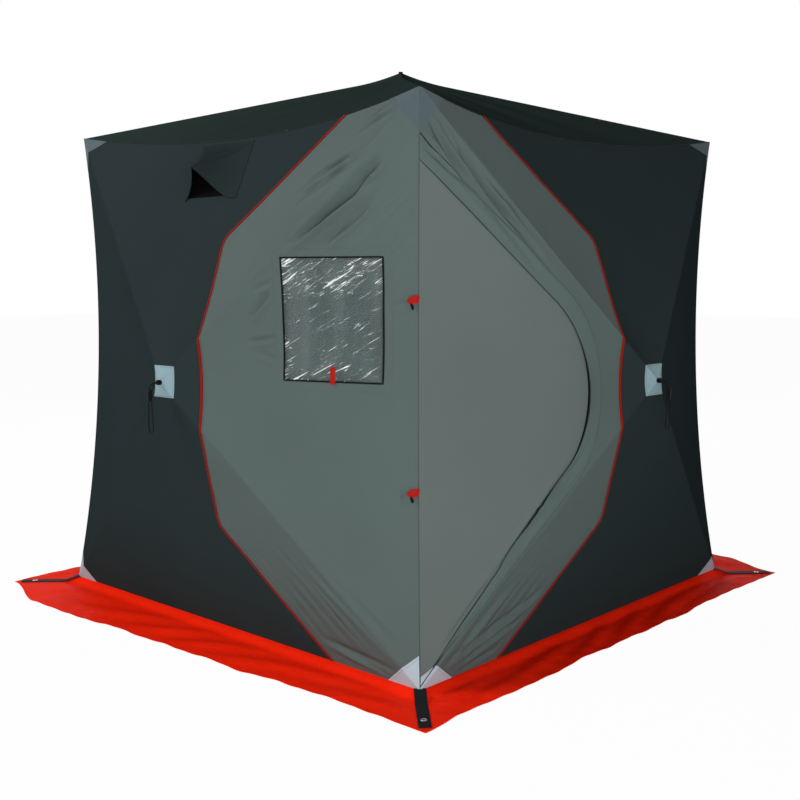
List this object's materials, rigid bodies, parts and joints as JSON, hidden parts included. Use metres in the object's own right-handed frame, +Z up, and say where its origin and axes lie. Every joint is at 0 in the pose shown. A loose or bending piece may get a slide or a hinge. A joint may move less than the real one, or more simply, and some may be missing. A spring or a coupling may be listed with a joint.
{
  "type": "ice fishing hut",
  "caption": "Pop-up ice fishing hut: fabric walls and roof drawn out over hubs and poles, with a corner door flap, windows, vents and a ground skirt.",
  "frame": {"origin": "on the ice, below the middle of the hut", "axes": "+Z up; the front wall, with the door, faces -Y and the left wall, with a window, faces -X"},
  "size_m": [2.334, 2.3154, 1.953],
  "materials": {
    "dark_fabric": "coated polyester, matt",
    "roof_fabric": "coated polyester, matt",
    "grey_fabric": "coated polyester, matt",
    "red_fabric": "coated polyester, satin",
    "red_webbing": "woven tape",
    "silver_fabric": "coated reinforcing fabric, satin",
    "clear_vinyl": "clear soft vinyl, creased",
    "pole_glassfibre": "pultruded rod",
    "black_plastic": "moulded",
    "black_metal": "black finish",
    "black_cord": "braided cord",
    "black_webbing": "woven webbing",
    "grommet_metal": "plated"
  },
  "bodies": {
    "shelter": {"anchor_grommets": "grommet_metal", "anchor_tabs": "black_webbing", "back_pull_cord": "black_cord", "back_skirt": "red_fabric", "back_wall_dark_panel": "dark_fabric", "back_wall_grey_panel": "grey_fabric", "back_wall_hub": "black_plastic", "back_wall_poles": "pole_glassfibre", "corner_sockets": "black_plastic", "door_tie_tabs": "red_webbing", "door_tie_toggles": "black_plastic", "foot_corner_patches": "silver_fabric", "front_pull_cord": "black_cord", "front_skirt": "red_fabric", "front_wall_dark_panel": "dark_fabric", "front_wall_grey_panel": "grey_fabric", "front_wall_hub": "black_plastic", "front_wall_poles": "pole_glassfibre", "hub_bolts": "black_metal", "hub_patches": "silver_fabric", "left_pull_cord": "black_cord", "left_skirt": "red_fabric", "left_wall_dark_panel": "dark_fabric", "left_wall_grey_panel": "grey_fabric", "left_wall_hub": "black_plastic", "left_wall_poles": "pole_glassfibre", "panel_piping": "red_webbing", "pole_feet": "black_plastic", "right_pull_cord": "black_cord", "right_skirt": "red_fabric", "right_wall_dark_panel": "dark_fabric", "right_wall_grey_panel": "grey_fabric", "right_wall_hub": "black_plastic", "right_wall_poles": "pole_glassfibre", "roof_hub": "black_plastic", "roof_panel": "roof_fabric", "roof_poles": "pole_glassfibre", "top_corner_patches": "silver_fabric", "vent_hoods": "dark_fabric", "window_blinds": "grey_fabric", "window_panes": "clear_vinyl", "window_pull_tabs": "red_webbing"},
    "door": {"door_panel": "grey_fabric", "door_storm_flap": "grey_fabric"}
  },
  "joints": [
    {"name": "door_hinge", "type": "hinge", "parent": "shelter", "child": "door", "pos_m": [-0.8, -0.87379, 0.805], "axis": [0, -0.0534, -0.9986], "range_deg": [0, 120]}
  ]
}
